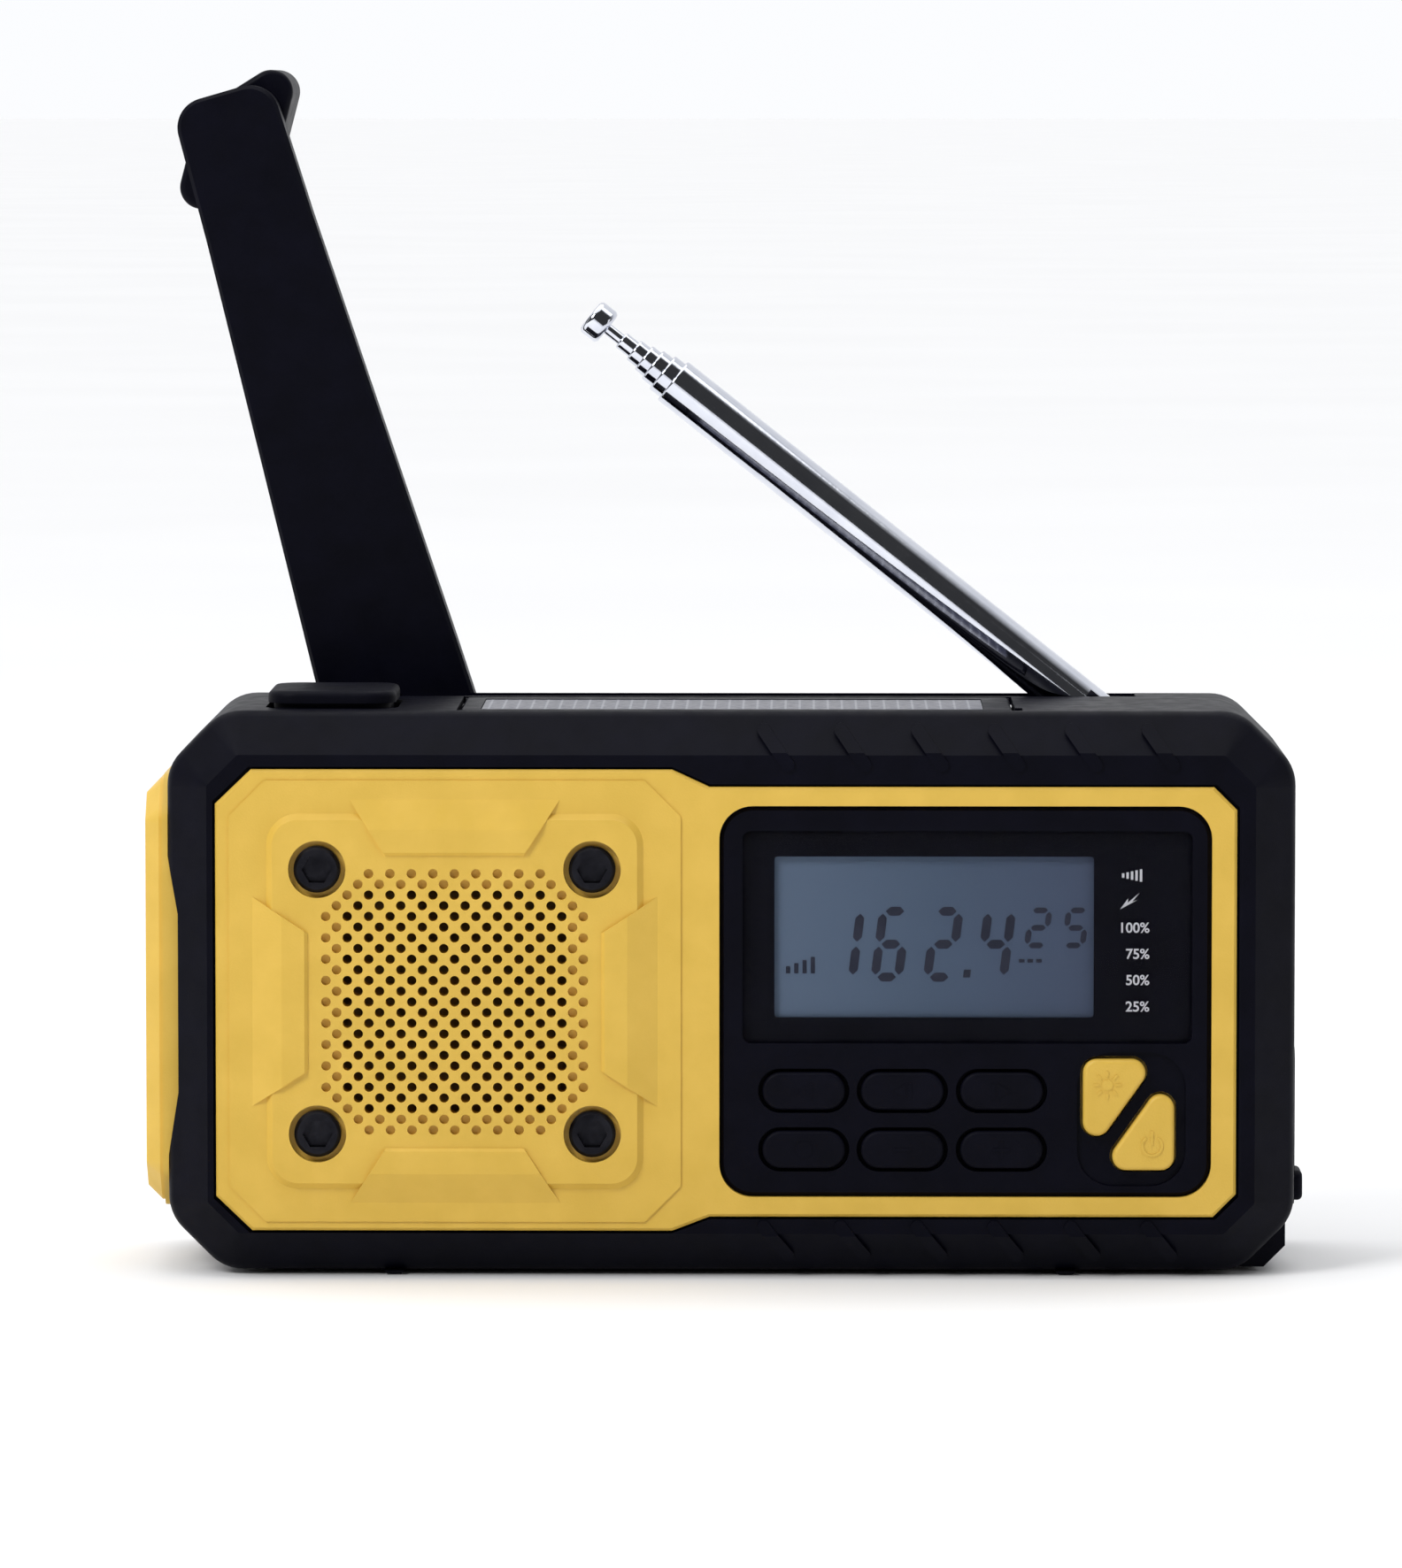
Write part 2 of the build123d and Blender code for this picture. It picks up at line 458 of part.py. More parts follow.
# ---------------------------------------------------------------------------
# Left end: torch
# ---------------------------------------------------------------------------
def build_torch():
    outline = cut_corners(CAP_Y0, CAP_Y1, CAP_Z0, CAP_Z1, 5.0)
    inner = cut_corners(CAP_Y0 + 0.7, CAP_Y1 - 0.7, CAP_Z0 + 0.7, CAP_Z1 - 0.7, 4.8)
    cap = side_prism(rounded(outline, 3.0), CAP_STEP, BODY_LEFT)
    crown = side_prism(rounded(inner, 2.9), CAP_LEFT, CAP_STEP)
    crown = chamfer(crown.faces().sort_by(Axis.X)[0].edges(), 2.0)
    saddle = waist() & side_prism(rounded(outline, 3.0), BODY_LEFT - 0.5, BODY_LEFT + 1.5)
    spigot = side_prism(rounded_box(CAP_Y0 + 4.2, CAP_Y1 - 4.2, CAP_Z0 + 5.2, CAP_Z1 - 5.2, 2.8),
                        BODY_LEFT - 1, BODY_LEFT + 5)
    cap = cap + crown + saddle + spigot
    cap = cap - rod_x(TORCH_Y, TORCH_Z, TORCH_RADIUS + 0.1, CAP_LEFT - 1, -70)
    for index in range(3):
        z = CAP_Z0 + 3.6 + 2.0 * index
        for height in (z, CAP_Z0 + CAP_Z1 - z):
            cap = cap - block(CAP_LEFT - 1, CAP_LEFT + 0.5, CAP_Y0 + 6, CAP_Y1 - 6,
                              height - 0.4, height + 0.4)
    keep("torch_bezel", cap)
    lens = rod_x(TORCH_Y, TORCH_Z, TORCH_RADIUS, -79.8, -78.2)
    keep("torch_lens", fillet(lens.edges().sort_by(Axis.X)[0], 0.5))
    mouth = Plane(origin=(-77.5, TORCH_Y, TORCH_Z), z_dir=(1, 0, 0))
    throat = Plane(origin=(-65.0, TORCH_Y, TORCH_Z), z_dir=(1, 0, 0))
    waist_plane = Plane(origin=(-70.5, TORCH_Y, TORCH_Z), z_dir=(1, 0, 0))
    outside = loft([mouth * Circle(15.0), waist_plane * Circle(11.8), throat * Circle(6.0)])
    bowl = loft([Pos(-0.01, 0, 0) * mouth * Circle(14.2), waist_plane * Circle(10.8),
                 Pos(-0.8, 0, 0) * throat * Circle(4.6)])
    bowl = bowl + rod_x(TORCH_Y, TORCH_Z, 3.0, -67, -64)
    keep("torch_reflector", outside - bowl)
    led = block(-64.9, -63.4, TORCH_Y - 8, TORCH_Y + 8, TORCH_Z - 8, TORCH_Z + 8)
    keep("torch_led", led + rod_x(TORCH_Y, TORCH_Z, 2.4, -66.5, -64.9))


# ---------------------------------------------------------------------------
# Top: rubber pad, solar lid, reading lamp, antenna
# ---------------------------------------------------------------------------
def build_pad():
    neck = top_prism(rounded_box(PAD_X0 + 0.8, PAD_X1 - 0.8, PAD_Y0 + 0.8, PAD_Y1 - 0.8, 3.4), 77.3, 79.6)
    cap = top_prism(rounded_box(PAD_X0, PAD_X1, PAD_Y0, PAD_Y1, 4.0), 79.6, PAD_TOP)
    pad = neck + fillet(cap.faces().sort_by(Axis.Z)[-1].edges(), 0.8)
    stem = top_prism(rounded_box(PAD_X0 + 6, PAD_X1 - 6, PAD_Y0 + 6, PAD_Y1 - 6, 1.5), 74.2, 77.3)
    keep("top_pad", pad + stem)
    middle_x, middle_y = (PAD_X0 + PAD_X1) / 2, (PAD_Y0 + PAD_Y1) / 2
    base = block(middle_x - 8, middle_x + 8, middle_y - 9, middle_y + 9, 70.6, 71.8)
    keep("pad_switch", base + rod_z(middle_x, middle_y, 1.8, 71.8, 72.9))


def build_lid():
    lid = block(LID_X0, LID_X1, LID_FRONT, LID_BACK - 1.0, LID_UNDER, BODY_TOP)
    lid = fillet(lid.edges().filter_by(Axis.Z), 1.2)
    lid = chamfer(lid.faces().sort_by(Axis.Z)[-1].edges(), 0.4)
    lid = lid - block(LID_X0 + 2.9, LID_X1 - 4.0, LID_FRONT + 2.4, LID_BACK - 4.6,
                      BODY_TOP - 0.9, BODY_TOP + 1)
    lid = lid - block(LID_X0 + 3, LID_X1 - 3, LID_FRONT + 3, LID_BACK - 6, LID_UNDER - 1, BODY_TOP - 2.2)
    corner = block(LID_X0, LID_X1, LID_HINGE_Y, LID_BACK + 1, LID_UNDER - 1, LID_HINGE_Z)
    lid = (lid - corner) + rod_x(LID_HINGE_Y, LID_HINGE_Z, LID_HINGE_RADIUS, LID_X0, LID_X1)
    lid = lid - rod_x(LID_HINGE_Y, LID_HINGE_Z, 0.8, LID_X0 - 1, LID_X0 + 6)
    lid = lid - rod_x(LID_HINGE_Y, LID_HINGE_Z, 0.8, LID_X1 - 6, LID_X1 + 1)
    keep("solar_lid", lid)
    keep("solar_cell", block(LID_X0 + 3.0, LID_X1 - 4.1, LID_FRONT + 2.5, LID_BACK - 4.7,
                             BODY_TOP - 0.9, BODY_TOP - 0.1))
    pins = [rod_x(LID_HINGE_Y, LID_HINGE_Z, 0.75, x - 3.2, x + 3.2) for x in (LID_X0, LID_X1)]
    keep("lid_hinge_pins", group(pins))


def build_lamp():
    keep("lamp_board", joined([block(-29, 33, -26, -9, LAMP_FLOOR, LAMP_FLOOR + 0.8)]
                              + [block(x - 1.4, x + 1.4, -18.9, -16.1, LAMP_FLOOR + 0.8,
                                       LAMP_FLOOR + 1.2) for x in range(-22, 30, 8)]))
    keep("lamp_window", top_prism(rounded_box(-30.8, 34.8, -27.3, -7.7, 1.5),
                                  LAMP_FLOOR + 1.3, LAMP_FLOOR + 1.9))


def along_antenna(shape):
    """Shape built along +Z from the pivot, laid over to the rest direction."""
    return Pos(ANTENNA_X, ANTENNA_Y, ANTENNA_Z) * Rot(0, ANTENNA_TILT - 90, 0) * shape


def build_antenna():
    fork_width, tube_start, stage_start = 4.6, 5.0, 7.5
    heel = rod_z(0, 0, ANTENNA_RADII[0], -0.5, stage_start) & Box(7, fork_width, 30)
    heel = heel + rod_y(0, 0, 3.4, -fork_width / 2, fork_width / 2)
    heel = heel - rod_y(0, 0, 1.05, -6, 6)
    inner_radii = ANTENNA_RADII[1:] + (TIP_ROD_RADIUS,)
    for index, (radius, inner, end) in enumerate(zip(ANTENNA_RADII, inner_radii, ANTENNA_ENDS)):
        outermost = index == 0
        tube = rod_z(0, 0, radius, tube_start if outermost else stage_start, end)
        tube = fillet(tube.edges().sort_by(Axis.Z)[-1], 0.3)
        bore_floor = stage_start - 0.3 if outermost else stage_start - 1
        tube = tube - rod_z(0, 0, inner + TUBE_PLAY, bore_floor, end + 1)
        if outermost:
            keep("antenna_tube", along_antenna(tube + heel))
        else:
            keep(f"antenna_stage_{index + 1}", along_antenna(tube))
    rod = rod_z(0, 0, TIP_ROD_RADIUS, stage_start, TIP_ROD_END)
    knob = fillet(rod_z(0, 0, TIP_KNOB_RADIUS, TIP_ROD_END, TIP_END).edges(), 0.75)
    keep("antenna_tip", along_antenna(rod + knob))
    keep("antenna_pin", rod_y(ANTENNA_X, ANTENNA_Z, 0.98, -1.0, 9.2))


# ---------------------------------------------------------------------------
# Rear: crank, gears, generator, battery, door
# ---------------------------------------------------------------------------
def crank_frame(shape):
    """Shape built with the arm along +Z above the hub axis, turned to the rest angle."""
    return Pos(HUB_X, 0, HUB_Z) * Rot(0, -CRANK_TILT, 0) * shape


def knob_section():
    """A rounded rhombus: a middle circle and two lobes, joined by their tangents."""
    lean = acos((KNOB_MIDDLE_RADIUS - KNOB_LOBE_RADIUS) / KNOB_LOBE_AT)
    near = (KNOB_MIDDLE_RADIUS * cos(lean), KNOB_MIDDLE_RADIUS * sin(lean))
    far = (KNOB_LOBE_AT + KNOB_LOBE_RADIUS * cos(lean), KNOB_LOBE_RADIUS * sin(lean))
    middle = polygon((-far[0], far[1]), (-far[0], -far[1]), (-near[0], -near[1]), (near[0], -near[1]),
                     (far[0], -far[1]), far, near, (-near[0], near[1]))
    section = middle + Circle(KNOB_MIDDLE_RADIUS)
    for side in (-1, 1):
        section = section + Pos(side * KNOB_LOBE_AT, 0) * Circle(KNOB_LOBE_RADIUS)
    return section


def build_crank():
    hub = rod_y(0, 0, HUB_RADIUS, 6.0, HUB_FACE)
    hub = chamfer(hub.edges().sort_by(Axis.Y)[-1], 0.6)
    pin_y = (ARM_FRONT + ARM_BACK) / 2
    lug = block(-3.9, 3.9, HUB_FACE - 1, pin_y, HINGE_OFFSET - 2.9, HINGE_OFFSET + 2.9)
    lug = lug + rod_x(pin_y, HINGE_OFFSET, 2.9, -3.9, 3.9)
    hub = hub + (lug - rod_x(pin_y, HINGE_OFFSET, 1.3, -6, 6)) + rod_y(0, 0, 3.25, -3.0, 6.0)
    keep("crank_hub", crank_frame(hub))
    keep("crank_hinge_pin", crank_frame(rod_x(pin_y, HINGE_OFFSET, 1.25, -9.8, 9.8)))

    tip = HINGE_OFFSET + ARM_LENGTH
    half, end_half = ARM_BASE_HALF, ARM_TIP_HALF - 0.5
    right_side = [(half, HINGE_OFFSET + 2.0), (half - 0.7, HINGE_OFFSET + 22),
                  (ARM_TIP_HALF, tip - 13), (end_half, tip + ARM_END)]
    outline = polygon(*right_side, *[(-x, z) for x, z in reversed(right_side)])
    tip_corners = outline.vertices().sort_by(Axis.Y)[-2:]
    outline = fillet(tip_corners, 4.3)
    arm = front_prism(outline, ARM_FRONT, ARM_BACK)
    front_face = arm.faces().sort_by(Axis.Y)[0]
    arm = chamfer(front_face.edges(), 0.5)
    arm = arm + rod_x(pin_y, HINGE_OFFSET, 3.0, -half, half)
    arm = arm + block(-half, half, ARM_FRONT, ARM_BACK, HINGE_OFFSET, HINGE_OFFSET + 3)
    arm = arm - block(-4.3, 4.3, ARM_FRONT - 1, ARM_BACK + 1, HINGE_OFFSET - 4, HINGE_OFFSET + 3.6)
    arm = arm - rod_x(pin_y, HINGE_OFFSET, 1.3, -10, 10)
    trough = polygon((-8.6, HINGE_OFFSET + 9), (8.6, HINGE_OFFSET + 9),
                     (5.6, tip - 13), (-5.6, tip - 13))
    arm = arm - front_prism(trough, ARM_FRONT + 1.8, ARM_BACK + 1)
    ribs = [block(-9, 9, ARM_FRONT + 1.5, ARM_BACK - 1.2, z - 0.6, z + 0.6)
            for z in (HINGE_OFFSET + 27, HINGE_OFFSET + 45, HINGE_OFFSET + 63, HINGE_OFFSET + 78)]
    spine = block(-0.7, 0.7, ARM_FRONT + 1.5, ARM_BACK - 1.2, HINGE_OFFSET + 8, tip - 12)
    arm = arm + (joined(ribs + [spine]) & front_prism(outline, ARM_FRONT, ARM_BACK))
    arm = arm - rod_y(0, tip, 1.3, ARM_FRONT + 1.8, ARM_BACK + 1)
    keep("crank_arm", crank_frame(arm))

    axle_end = ARM_BACK + KNOB_LENGTH
    axle = rod_y(0, tip, 1.25, ARM_FRONT + 1.9, axle_end - 2.6)
    axle = axle + rod_y(0, tip, 2.6, axle_end - 2.6, axle_end - 1.2)
    keep("knob_axle", crank_frame(axle))
    section = Pos(0, tip) * Rot(0, 0, KNOB_TURN - CRANK_TILT) * knob_section()
    knob = front_prism(section, ARM_BACK + 0.3, axle_end)
    knob = fillet(knob.faces().sort_by(Axis.Y)[-1].edges(), 1.6)
    knob = fillet(knob.faces().sort_by(Axis.Y)[0].edges(), 0.8)
    knob = knob - rod_y(0, tip, 1.32, ARM_BACK - 1, axle_end - 2.5)
    knob = knob - rod_y(0, tip, 2.9, axle_end - 2.9, axle_end + 1)
    keep("crank_knob", crank_frame(knob))


def involute(angle):
    return tan(angle) - angle


def gear_outline(centre, teeth, module, tooth_angle):
    """Stub involute gear; one tooth is centred on tooth_angle, in degrees."""
    pitch_radius, pressure, play = teeth * module / 2, radians(20), 0.14
    base_radius = pitch_radius * cos(pressure)
    tip_radius, root_radius = pitch_radius + 0.8 * module, pitch_radius - 1.15 * module
    half_tooth = pi / (2 * teeth) - play / (2 * pitch_radius)
    flank = []
    for step in range(4):
        start = max(base_radius, root_radius)
        radius = start + (tip_radius - start) * step / 3
        turn = half_tooth + involute(pressure) - involute(acos(min(1, base_radius / radius)))
        flank.append((radius, turn))
    points = []
    for tooth in range(teeth):
        middle = radians(tooth_angle) + 2 * pi * tooth / teeth
        root = flank[0][1] + 0.02
        profile = [(root_radius, -root)] + [(r, -a) for r, a in flank]
        profile += [(r, a) for r, a in reversed(flank)] + [(root_radius, root)]
        points += [(centre[0] + r * cos(middle + a), centre[1] + r * sin(middle + a))
                   for r, a in profile]
    return polygon(*points)


def build_gears():
    hub = (HUB_X, HUB_Z)
    wheel = front_prism(gear_outline(hub, GEAR_TEETH, MODULE_1, STEP_ANGLE), -1.4, 1.6)
    wheel = wheel - rod_y(*hub, 3.28, -2, 2)
    for turn in range(5):
        wheel = wheel - rod_y(*polar(hub, 9.6, 72 * turn + 20), 3.6, -2, 2)
    keep("crank_gear", wheel)

    half_gap = 180 / PINION_TEETH
    pinion = gear_outline(STEP_CENTRE, PINION_TEETH, MODULE_1, STEP_ANGLE + 180 + half_gap)
    second = gear_outline(STEP_CENTRE, GEAR_TEETH, MODULE_2, GENERATOR_ANGLE)
    step = front_prism(pinion, -2.2, 2.2) + front_prism(second, -5.2, -2.2)
    for turn in range(5):
        step = step - rod_y(*polar(STEP_CENTRE, 10.2, 72 * turn), 2.6, -6, -1)
    keep("step_gear", step - rod_y(*STEP_CENTRE, 1.55, -6, 3))
    keep("step_gear_axle", rod_y(*STEP_CENTRE, 1.5, -7.4, 6.4))

    last = gear_outline(GENERATOR_CENTRE, PINION_TEETH, MODULE_2,
                        GENERATOR_ANGLE + 180 + half_gap)
    shaft_hole = rod_y(*GENERATOR_CENTRE, 1.0, -10, -2.6)
    keep("generator_pinion", front_prism(last, -5.4, -2.0) - shaft_hole
         + rod_y(*GENERATOR_CENTRE, 0.98, -9.4, -2.6))

    outline = polygon((-42, 23), (0.6, 23), (0.6, 36), (11.5, 41), (11.5, 65), (-24, 65), (-42, 45))
    plate = front_prism(fillet(outline.vertices(), 2.0), -7.4, -5.9)
    plate = plate - rod_y(*STEP_CENTRE, 1.53, -8, -5) - rod_y(*GENERATOR_CENTRE, 2.0, -8, -5)
    for x, z in GEAR_POSTS:
        plate = plate - rod_y(x, z, 1.1, -8, -5)
    keep("gear_plate", plate)
    can = rod_y(*GENERATOR_CENTRE, 12.0, -21.4, -7.5)
    can = chamfer(can.edges().sort_by(Axis.Y)[0], 1.0)
    can = can - rod_y(*GENERATOR_CENTRE, 1.05, -9.6, -7)
    keep("generator", can)


def build_battery():
    cell = rod_x(CELL_Y, CELL_Z, CELL_RADIUS, CELL_X0, CELL_X0 + CELL_LENGTH)
    keep("battery_cell", fillet(cell.edges(), 0.8))
    plates = [block(x0, x1, CELL_Y - 4, CELL_Y + 4, CELL_Z - 4, CELL_Z + 4)
              for x0, x1 in ((3.45, 4.1), (69.3, 69.75))]
    keep("battery_contacts", group(plates))
    door = front_prism(rounded_box(2.0, 71.0, 8.6, 32.8, 1.8), 8.2, BODY_BACK)
    for index in range(5):
        z = 15.7 + 2.5 * index
        door = door - block(58, 67, BODY_BACK - 0.5, BODY_BACK + 1, z - 0.5, z + 0.5)
    keep("battery_door", door)


def screw(x, z, back, length, head_radius, shank_radius):
    """A cross-head screw driven from the back."""
    head = rod_y(x, z, head_radius, back - 1.5, back)
    slot = block(x - head_radius * 0.6, x + head_radius * 0.6, back - 0.7, back + 1, z - 0.35, z + 0.35)
    cross = block(x - 0.35, x + 0.35, back - 0.7, back + 1, z - head_radius * 0.6, z + head_radius * 0.6)
    return head - slot - cross + rod_y(x, z, shank_radius, back - length, back - 1.5)


def build_screws():
    keep("case_screws", group([screw(x, z, 8.95, 24.0, 2.5, 1.3) for x, z in CASE_SCREWS]))
    flipped = []
    for x, z in GEAR_POSTS:
        head = rod_y(x, z, 2.0, -8.8, -7.45)
        head = head - block(x - 1.2, x + 1.2, -9.5, -8.2, z - 0.3, z + 0.3)
        flipped.append(head + rod_y(x, z, 0.95, -7.45, 2.5))
    keep("gear_screws", group(flipped))


# ---------------------------------------------------------------------------
# Right side: ports and their flap; underneath: feet
# ---------------------------------------------------------------------------
def socket_shell(centre, depth, width, height, wall, tongue):
    """A pressed socket set upright, open to the right, with its contact tongue."""
    y, z = centre
    back = SOCKET_MOUTH - depth
    body = block(back, SOCKET_MOUTH, y - width / 2, y + width / 2, z - height / 2, z + height / 2)
    body = body - block(back + 1.2, SOCKET_MOUTH + 1, y - width / 2 + wall, y + width / 2 - wall,
                        z - height / 2 + wall, z + height / 2 - wall)
    low, high = tongue
    return body + block(back + 1, SOCKET_MOUTH - 0.9, y + low, y + high,
                        z - height / 2 + 1.1, z + height / 2 - 1.1)


def build_ports():
    usb_c = socket_shell(USB_C, 7.8, 3.4, 9.2, 0.4, (-0.35, 0.35))
    usb_a = socket_shell(USB_A, 11.8, 6.0, 13.4, 0.5, (0.2, 1.7))
    jack = rod_x(*JACK, 3.0, 66.5, SOCKET_MOUTH) - rod_x(*JACK, 1.8, 68, 79)
    keep("port_sockets", group([usb_c, usb_a, jack]))
    flap = side_prism(rounded_box(FLAP_Y0, FLAP_Y1, FLAP_Z0, FLAP_Z1, 2.0), 78.9, 80.2)
    tab = side_prism(rounded_box(-23.5, -15.5, FLAP_Z0, FLAP_Z0 + 4.2, 1.2), 79.5, 81.6)
    tab = fillet(tab.faces().sort_by(Axis.X)[-1].edges(), 0.7)
    knuckle = rod_y(79.55, FLAP_Z1 + 0.1, 0.65, FLAP_Y0 + 3, FLAP_Y1 - 3)
    keep("port_flap", flap + tab + knuckle)


def build_feet():
    feet = []
    for x in FOOT_XS:
        for y in FOOT_YS:
            root = Plane(origin=(x, y, BODY_BOTTOM)) * Rectangle(2.8, 7.0)
            toe = Plane(origin=(x, y, 0)) * Rectangle(2.0, 6.2)
            feet.append(loft([toe, root]) + rod_z(x, y, 1.2, BODY_BOTTOM, BODY_BOTTOM + WALL))
    keep("feet", group(feet))


build_shells()
build_front_panel()
build_panel_bolts()
build_control_panel()
build_display()
build_buttons()
build_electronics()
build_speaker()
build_torch()
build_pad()
build_lid()
build_lamp()
build_antenna()
build_crank()
build_gears()
build_battery()
build_screws()
build_ports()
build_feet()

for name, shape in NODES.items():
    export_step(shape, f"parts/{name}.step")
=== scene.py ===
import json
import math

import bmesh
import bpy
from mathutils import Matrix, Vector


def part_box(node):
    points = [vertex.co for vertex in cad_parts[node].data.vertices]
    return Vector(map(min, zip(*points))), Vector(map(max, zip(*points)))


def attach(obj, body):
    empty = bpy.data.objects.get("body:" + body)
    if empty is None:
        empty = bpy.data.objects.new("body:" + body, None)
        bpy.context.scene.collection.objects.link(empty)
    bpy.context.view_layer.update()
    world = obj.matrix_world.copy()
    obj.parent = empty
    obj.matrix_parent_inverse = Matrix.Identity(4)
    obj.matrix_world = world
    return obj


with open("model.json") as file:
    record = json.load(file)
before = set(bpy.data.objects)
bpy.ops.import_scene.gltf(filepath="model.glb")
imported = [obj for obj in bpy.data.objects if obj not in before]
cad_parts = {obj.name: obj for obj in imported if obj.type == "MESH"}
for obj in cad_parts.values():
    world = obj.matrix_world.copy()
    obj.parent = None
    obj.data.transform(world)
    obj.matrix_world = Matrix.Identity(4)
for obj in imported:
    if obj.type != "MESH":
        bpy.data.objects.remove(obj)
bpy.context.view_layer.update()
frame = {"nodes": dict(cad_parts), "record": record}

MM = 0.001
NODES = frame["nodes"]


def front_of(node):
    """Y of a node's front face, in millimetres."""
    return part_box(node)[0].y / MM


def centre_of(node):
    """Middle of a node in the front view, as x and z in millimetres."""
    low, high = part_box(node)
    return (low.x + high.x) / 2 / MM, (low.z + high.z) / 2 / MM


# ---------------------------------------------------------------------------
# Materials: each one is a small node tree round a Principled shader
# ---------------------------------------------------------------------------
NOISE_LOW, NOISE_HIGH = 0.3, 0.7         # noise seldom leaves this range


class Finish:
    """Builds one procedural material; lengths are in metres."""

    def __init__(self, name):
        self.material = bpy.data.materials.new(name)
        self.material.use_nodes = True
        self.nodes = self.material.node_tree.nodes
        self.links = self.material.node_tree.links
        self.shader = self.nodes["Principled BSDF"]
        self.place = self.nodes.new("ShaderNodeTexCoord").outputs["Object"]

    def set(self, **sockets):
        for name, value in sockets.items():
            self.shader.inputs[name.replace("_", " ")].default_value = value
        return self

    def noise(self, size, detail=2.0, roughness=0.5, stretch=None):
        """Noise whose blobs are about size across; stretch squeezes it along an axis."""
        place = self.place
        if stretch:
            mapping = self.nodes.new("ShaderNodeMapping")
            mapping.inputs["Scale"].default_value = stretch
            self.links.new(place, mapping.inputs["Vector"])
            place = mapping.outputs["Vector"]
        node = self.nodes.new("ShaderNodeTexNoise")
        node.inputs["Scale"].default_value = 1 / size
        node.inputs["Detail"].default_value = detail
        node.inputs["Roughness"].default_value = roughness
        self.links.new(place, node.inputs["Vector"])
        return node.outputs["Fac"]

    def ramp(self, value, stops):
        """Maps a value to colours; stops are (position, (r, g, b))."""
        node = self.nodes.new("ShaderNodeValToRGB")
        first, last = node.color_ramp.elements
        first.position, first.color = stops[0][0], (*stops[0][1], 1)
        last.position, last.color = stops[-1][0], (*stops[-1][1], 1)
        for position, colour in stops[1:-1]:
            node.color_ramp.elements.new(position).color = (*colour, 1)
        self.links.new(value, node.inputs["Fac"])
        return node.outputs["Color"]

    def spread(self, value, low, high):
        """Maps noise to the range low to high."""
        node = self.nodes.new("ShaderNodeMapRange")
        node.inputs["From Min"].default_value = NOISE_LOW
        node.inputs["From Max"].default_value = NOISE_HIGH
        node.inputs["To Min"].default_value = low
        node.inputs["To Max"].default_value = high
        self.links.new(value, node.inputs["Value"])
        return node.outputs["Result"]

    def colour(self, output):
        self.links.new(output, self.shader.inputs["Base Color"])
        return self

    def rough(self, output):
        self.links.new(output, self.shader.inputs["Roughness"])
        return self

    def mottled(self, size, detail, dark, light):
        """Base colour that drifts between two shades, in patches about size across."""
        patches = self.noise(size, detail)
        return self.colour(self.ramp(patches, [(NOISE_LOW, dark), (NOISE_HIGH, light)]))

    def sheen(self, size, detail, low, high):
        """Roughness that drifts from low to high, in patches about size across."""
        return self.rough(self.spread(self.noise(size, detail), low, high))

    def bump(self, height, depth):
        node = self.nodes.new("ShaderNodeBump")
        node.inputs["Distance"].default_value = depth
        self.links.new(height, node.inputs["Height"])
        self.links.new(node.outputs["Normal"], self.shader.inputs["Normal"])
        return self


CLOUD_SIZE, CLOUD_EDGES = 0.006, (0.35, 0.68)
SHEEN_SIZE = 0.0025
SCRATCH_SIZE = 0.0009


def moulded(name, dark, light, grain, depth, roughness, specular):
    """Injection-moulded plastic or rubber: faint clouding, a fine spark-eroded grain."""
    finish = Finish(name)
    finish.colour(finish.ramp(finish.noise(CLOUD_SIZE, 4.0), list(zip(CLOUD_EDGES, (dark, light)))))
    finish.sheen(SHEEN_SIZE, 3.0, roughness - 0.05, roughness + 0.06)
    finish.bump(finish.noise(grain, 2.0), depth)
    return finish.set(Specular_IOR_Level=specular).material


def metal(name, dark, light, roughness, scratch, stretch):
    """Bare or plated metal with fine scratches along one direction."""
    finish = Finish(name).set(Metallic=1.0)
    finish.mottled(0.004, 3.0, dark, light)
    lines = finish.noise(SCRATCH_SIZE, 3.0, 0.6, stretch)
    finish.rough(finish.spread(lines, roughness * 0.7, roughness * 1.3))
    return finish.bump(lines, scratch).material


def clear_plastic():
    """Tinted clear acrylic that shows what is printed and mounted behind it."""
    finish = Finish("clear_plastic").set(Alpha=0.16, Specular_IOR_Level=0.12, IOR=1.49)
    finish.mottled(0.02, 2.0, (0.004, 0.004, 0.006), (0.007, 0.007, 0.010))
    return finish.sheen(0.005, 3.0, 0.03, 0.07).material


def clear_lens():
    """Water-clear torch lens, through which the reflector shows."""
    finish = Finish("torch_glass").set(Alpha=0.22, Specular_IOR_Level=0.8)
    finish.mottled(0.01, 2.0, (0.80, 0.83, 0.85), (0.88, 0.90, 0.91))
    return finish.sheen(0.004, 3.0, 0.02, 0.06).material


LCD_BORDER = 2.4 * MM                    # glass outside the part that shows
LCD_GRAIN_SIZE = 0.00035
LCD_LIGHT, LCD_MIDDLE, LCD_DARK = (0.165, 0.230, 0.345), (0.118, 0.170, 0.265), (0.098, 0.130, 0.215)


